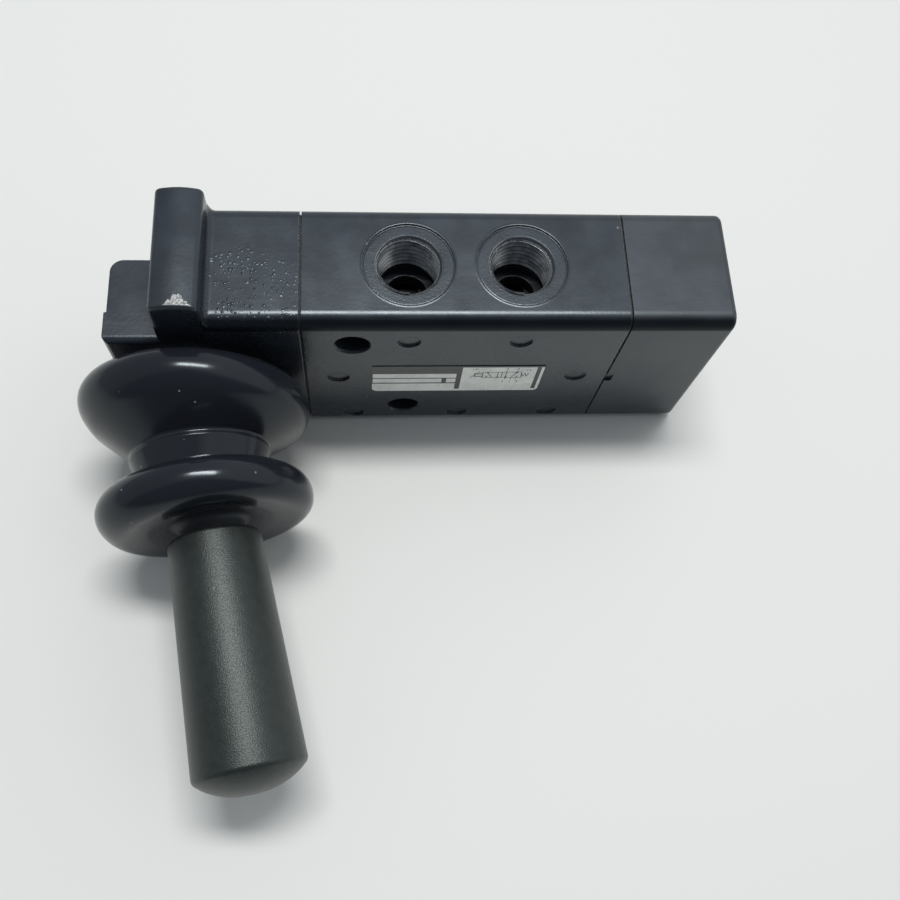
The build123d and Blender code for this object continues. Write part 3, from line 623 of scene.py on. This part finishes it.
grip_corners = [
    (39.1, 4.02, 0),
    (39.1, 9.0, 1.0),
    (83.3, 10.52, 1.3),
    (87.2, 6.4, 11.5),
    (87.2, 0.0, 0),
    (74.0, 0.0, 0),
    (74.0, 4.02, 0),
]
grip_mesh = turned_piece(grip_corners)
along_lever(grip_mesh, lever_way)
grip = finish_piece(grip_mesh, "moulded_grip", grip_plastic, "lever")
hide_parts("handle_grip")

# %% [markdown]
# The rubber boot seals the lever. Its root sits in the housing, then come a large ring, a short
# waist, a smaller ring, a shallow dish and a collar. On the real one the rubber bends while the
# lever leans. So the boot is turned straight, then each slice is moved sideways with the lever
# and turned by its own share of the lean: little at the large ring, all of it at the grip.

# %% Boot: turn the straight shape
boot_corners = [
    (2.7, 9.9, 0),
    (6.6, 9.9, 1.2),
    (6.8, 22.75, 4.6),
    (14.7, 22.75, 6.0),
    (21.3, 13.55, 0.8),
    (22.3, 13.85, 0.5),
    (27.2, 12.3, 1.0),
    (29.2, 20.9, 4.2),
    (37.6, 20.9, 4.5),
    (36.9, 12.2, 3.4),
    (35.6, 6.3, 1.5),
    (38.95, 6.3, 0),
    (38.95, 4.02, 0),
    (33.8, 4.02, 0),
    (34.6, 13.2, 0),
    (34.8, 18.4, 0),
    (30.6, 18.8, 0),
    (27.0, 10.9, 0),
    (20.4, 11.8, 0),
    (14.0, 20.4, 0),
    (9.2, 20.4, 0),
    (8.6, 8.2, 0),
    (2.7, 8.2, 0),
]
boot_mesh = turned_piece(boot_corners, segments=10)
along_lever(boot_mesh, Vector((0, -1, 0)))
print("boot outline corners:", len(boot_corners))

# %% Boot: bend it toward the lever's lean
def ease(value, low, high):
    """A soft step from 0 at low to 1 at high."""
    share = min(max((value - low) / (high - low), 0), 1)
    return share * share * (3 - 2 * share)


for vert in boot_mesh.verts:
    along = pivot.y - vert.co.y
    middle = Vector((0, -along, 0))
    shift_share = 1.2 * ease(along, 0, 9) - 0.28 * ease(along, 14, 24) + 0.08 * ease(along, 33, 38)
    turn_share = 0.22 * ease(along, 2.7, 9) + 0.6 * ease(along, 14, 26) + 0.18 * ease(along, 33, 38)
    shifted = Quaternion((0, 0, 1), lean * shift_share) @ middle
    turned = Quaternion((0, 0, 1), lean * turn_share) @ (vert.co - pivot - middle)
    vert.co = pivot + shifted + turned
boot = finish_piece(boot_mesh, "rubber_boot", boot_rubber, None)
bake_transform(boot)
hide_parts("bellows")

# %% [markdown]
# The ports have a G1/4 pipe thread, 19 threads to the inch. One ridge of the thread is three
# short edges. A spin with a step along the axis, `dvec`, sweeps them into a screw, and going up
# as it turns left makes it right-handed. A spun cone at the mouth is the lead-in that the tap
# leaves: painted, with a thin bright ring at either end. The ridges are cut bare, so they are
# metal and not paint.

# %% Finish: cut threads
thread_metal, tree, shader, place = new_finish("thread_metal", Metallic=0.85)
stain = noise(tree, place, 420.0, 4.0)
dark = ramp(tree, stain, 0.4, 0.65)
cut = blend_colours(tree, dark, (0.28, 0.29, 0.295, 1), (0.12, 0.125, 0.13, 1))
tree.links.new(cut, shader.inputs["Base Color"])
tree.links.new(spread(tree, stain, 0.2, 0.34), shader.inputs["Roughness"])
raise_surface(tree, shader, stain, 0.00004, 0.4)
print("threads:", thread_metal.name)

# %% Port threads
thread_pitch = 25.4 / 19
drilled_radius = 6.5785
ridge = 0.72
lead_in_end = 1.0
thread_turns = 6.75
port_places = [(-11.1, 46.6, 1), (11.1, 46.6, 1), (-22.2, 0.0, -1), (0.0, 0.0, -1), (22.2, 0.0, -1)]


def spun(bm, points, angle=2 * pi, steps=80, rise=0.0):
    """Spins an open line of (radius, z) points about Z, with a rise at each step."""
    verts = [bm.verts.new((radius, 0, z)) for radius, z in points]
    edges = [bm.edges.new(pair) for pair in zip(verts, verts[1:])]
    bmesh.ops.spin(
        bm, geom=verts + edges, cent=(0, 0, 0), axis=(0, 0, 1), dvec=(0, 0, rise),
        angle=angle, steps=steps, use_merge=rise == 0,
    )


crest = drilled_radius - ridge
foot = -lead_in_end - thread_turns * thread_pitch
tooth = [
    (drilled_radius, foot + 0.12),
    (crest, foot + 0.44 * thread_pitch),
    (crest, foot + 0.56 * thread_pitch),
    (drilled_radius, foot + thread_pitch - 0.12),
]
lead_in = [
    (drilled_radius + 0.12, -0.01),
    (drilled_radius - 0.06, -0.07),
    (crest + 0.17, 0.05 - lead_in_end),
    (crest, -lead_in_end),
    (drilled_radius, -lead_in_end),
]
thread_steps = int(40 * thread_turns)
step_rise = thread_turns * thread_pitch / thread_steps
for number, (x, z, up) in enumerate(port_places, start=1):
    port_mesh = bmesh.new()
    spun(port_mesh, tooth, 2 * pi * thread_turns, thread_steps, step_rise)
    spun(port_mesh, lead_in)
    for face in port_mesh.faces:
        if 0.1 - lead_in_end < face.calc_center_median().z < -0.1:
            face.material_index = 1
    if up < 0:
        upside_down = Matrix.Rotation(pi, 3, "X")
        bmesh.ops.rotate(port_mesh, cent=(0, 0, 0), matrix=upside_down, verts=port_mesh.verts[:])
    bmesh.ops.translate(port_mesh, vec=(x, 0, z), verts=port_mesh.verts[:])
    threads = finish_piece(port_mesh, f"port_threads_{number}", thread_metal, "valve", sharp=50)
    threads.data.materials.append(body_paint)

# %% [markdown]
# A label plate is stuck to the front face. It starts as one flat face, and a vertex bevel
# rounds its two lower corners. `bisect_plane` then cuts the front along the borders of the
# print, and the faces inside the white areas get a second material. That keeps the print sharp
# at any distance, and the plate stays one piece.

# %% Finish: label print
def label_finish(name, colour, smudge, roughness):
    """Printed foil with faint smudges."""
    material, tree, shader, place = new_finish(name, Specular_IOR_Level=0.8)
    cloud = noise(tree, place, 330.0, 5.0)
    smudged = ramp(tree, cloud, 0.42, 0.7)
    mixed = blend_colours(tree, smudged, list(colour) + [1], list(smudge) + [1])
    tree.links.new(mixed, shader.inputs["Base Color"])
    rough = spread(tree, cloud, roughness - 0.08, roughness + 0.08)
    tree.links.new(rough, shader.inputs["Roughness"])
    raise_surface(tree, shader, cloud, 0.00002, 0.3)
    return material


print_white = label_finish("print_white", (0.93, 0.94, 0.89), (0.76, 0.77, 0.72), 0.26)
print_black = label_finish("print_black", (0.012, 0.013, 0.016), (0.03, 0.032, 0.036), 0.35)
print("label:", print_white.name, print_black.name)

# %% Label plate
face_y = -13.0
plate_left, plate_right = -18.2, 18.0
plate_bottom, plate_top = 16.5, 28.7
white_areas = [
    (-18.05, 23.15, -0.45, 25.1),
    (-18.05, 20.85, -3.44, 22.75),
    (-2.45, 20.85, -0.45, 22.75),
    (-18.2, 16.6, -0.45, 20.35),
    (-0.45, 16.6, 0.65, 17.5),
    (0.65, 16.6, 16.4, 28.1),
    (16.4, 16.6, 17.3, 17.5),
    (17.3, 16.6, 17.9, 28.1),
]
plate_mesh = bmesh.new()
corners = [
    (plate_left, plate_bottom),
    (plate_right, plate_bottom),
    (plate_right, plate_top),
    (plate_left, plate_top),
]
plate_verts = [plate_mesh.verts.new((x, 0, z)) for x, z in corners]
plate_mesh.faces.new(plate_verts)
bmesh.ops.bevel(
    plate_mesh, geom=plate_verts[:2], offset=1.5, offset_type="OFFSET", segments=8, profile=0.5,
    affect="VERTICES", material=-1,
)
for axis in (0, 2):
    borders = {area[index] for area in white_areas for index in (axis // 2, axis // 2 + 2)}
    for cut in sorted(borders):
        place_at = Vector((0, 0, 0))
        place_at[axis] = cut
        way = Vector((0, 0, 0))
        way[axis] = 1
        everything = plate_mesh.verts[:] + plate_mesh.edges[:] + plate_mesh.faces[:]
        bmesh.ops.bisect_plane(
            plate_mesh, geom=everything, plane_co=place_at, plane_no=way, dist=0.0001
        )
for face in plate_mesh.faces:
    middle = face.calc_center_median()
    for low_x, low_z, high_x, high_z in white_areas:
        if low_x < middle.x < high_x and low_z < middle.z < high_z:
            face.material_index = 1
plate_thickness = 0.15
grown = bmesh.ops.extrude_face_region(plate_mesh, geom=plate_mesh.faces[:])
raised = [piece for piece in grown["geom"] if isinstance(piece, bmesh.types.BMVert)]
bmesh.ops.translate(plate_mesh, vec=(0, -plate_thickness, 0), verts=raised)
bmesh.ops.translate(plate_mesh, vec=(0, face_y, 0), verts=plate_mesh.verts[:])
bmesh.ops.recalc_face_normals(plate_mesh, faces=plate_mesh.faces[:])
for face in plate_mesh.faces:
    if abs(face.normal.y) < 0.5:
        face.material_index = 0
plate = finish_piece(plate_mesh, "label_plate", print_black, "valve")
plate.data.materials.append(print_white)

# %% [markdown]
# The symbol on the label is the standard one for such a valve: two boxes with their flow
# arrows, a lever sign, a spring sign and the plain port numbers. Each line is a thin strip from
# a grid of one face, scaled, turned and moved. The numbers are text objects made into meshes.

# %% Valve symbol
line_width = 0.17
ink_y = face_y - plate_thickness - 0.012
ink_mesh = bmesh.new()


def stroke(start, end):
    """One thin strip from start to end, both (x, z) on the label."""
    first, last = Vector((start[0], 0, start[1])), Vector((end[0], 0, end[1]))
    run = last - first
    strip = bmesh.ops.create_grid(ink_mesh, x_segments=1, y_segments=1, size=0.5)["verts"]
    bmesh.ops.scale(ink_mesh, vec=(run.length + line_width * 0.6, line_width, 1), verts=strip)
    bmesh.ops.rotate(ink_mesh, cent=(0, 0, 0), matrix=Matrix.Rotation(pi / 2, 3, "X"), verts=strip)
    turn = Vector((1, 0, 0)).rotation_difference(run).to_matrix()
    bmesh.ops.rotate(ink_mesh, cent=(0, 0, 0), matrix=turn, verts=strip)
    bmesh.ops.translate(ink_mesh, vec=(first + last) / 2 + Vector((0, ink_y, 0)), verts=strip)


def arrow(start, end):
    """A stroke with a small head at its end."""
    stroke(start, end)
    back = (Vector(start) - Vector(end)).normalized() * 0.55
    for side in (-1, 1):
        barb = Matrix.Rotation(side * radians(28), 2) @ back
        stroke(end, (end[0] + barb.x, end[1] + barb.y))


box_low, box_high = 23.1, 25.8
edges_x = (5.1, 9.2, 13.35)
for x in edges_x:
    stroke((x, box_low), (x, box_high))
for z in (box_low, box_high):
    stroke((edges_x[0], z), (edges_x[-1], z))
arrow((7.15, box_low), (6.0, box_high))
arrow((8.3, box_high), (8.3, box_low))
arrow((11.25, box_low), (12.4, box_high))
arrow((10.1, box_high), (10.1, box_low))
for x in (5.95, 12.5):
    stroke((x - 0.3, box_low + 0.75), (x + 0.3, box_low + 0.75))
    stroke((x, box_low), (x, box_low + 0.75))
for x in (10.1, 11.25, 12.4):
    stroke((x, box_low), (x, box_low - 0.8))
for x in (10.1, 12.4):
    stroke((x, box_high), (x, box_high + 0.8))
stroke((5.1, 23.9), (3.4, 23.9))
stroke((5.1, 25.1), (3.4, 25.1))
stroke((3.4, 23.7), (3.4, 25.3))
stroke((2.6, 23.2), (4.3, 25.9))
for index in range(4):
    low, high = (23.7, 25.2) if index % 2 else (25.2, 23.7)
    stroke((13.35 + index * 0.38, low), (13.73 + index * 0.38, high))
symbol = finish_piece(ink_mesh, "valve_symbol", print_black, "valve")

# %% Port numbers
numbers = [
    ("14", 3.2, 26.9),
    ("4", 10.1, 27.05),
    ("2", 12.4, 27.05),
    ("12", 14.7, 26.4),
    ("5", 9.7, 20.9),
    ("1", 11.25, 20.9),
    ("3", 12.7, 20.9),
]
for text_value, x, z in numbers:
    writing = bpy.data.curves.new("number", "FONT")
    writing.body = text_value
    writing.size = 1.15 * MM
    writing.align_x = "CENTER"
    writing.resolution_u = 3
    carrier = bpy.data.objects.new("carrier", writing)
    scene.collection.objects.link(carrier)
    bpy.context.view_layer.update()
    flat = bpy.data.meshes.new_from_object(carrier)
    bpy.data.objects.remove(carrier)
    flat.transform(Matrix.Translation(Vector((x, ink_y, z)) * MM) @ Matrix.Rotation(pi / 2, 4, "X"))
    flat.materials.clear()
    flat.materials.append(print_black)
    digit = bpy.data.objects.new(f"port_number_{text_value}", flat)
    scene.collection.objects.link(digit)
    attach(digit, "valve")
print("numbers on the label:", len(numbers))

# %% [markdown]
# The table is one large pale plane that only belongs to the scene. It sits a hair below the
# valve's bottom face.

# %% Table
table_mesh = bmesh.new()
bmesh.ops.create_grid(table_mesh, x_segments=1, y_segments=1, size=1500)
bmesh.ops.translate(table_mesh, vec=(0, 0, -0.05), verts=table_mesh.verts[:])
table_white, tree, shader, place = new_finish("table_white", Roughness=0.6)
shader.inputs["Base Color"].default_value = (0.715, 0.722, 0.692, 1)
table = finish_piece(table_mesh, "table", table_white, None)
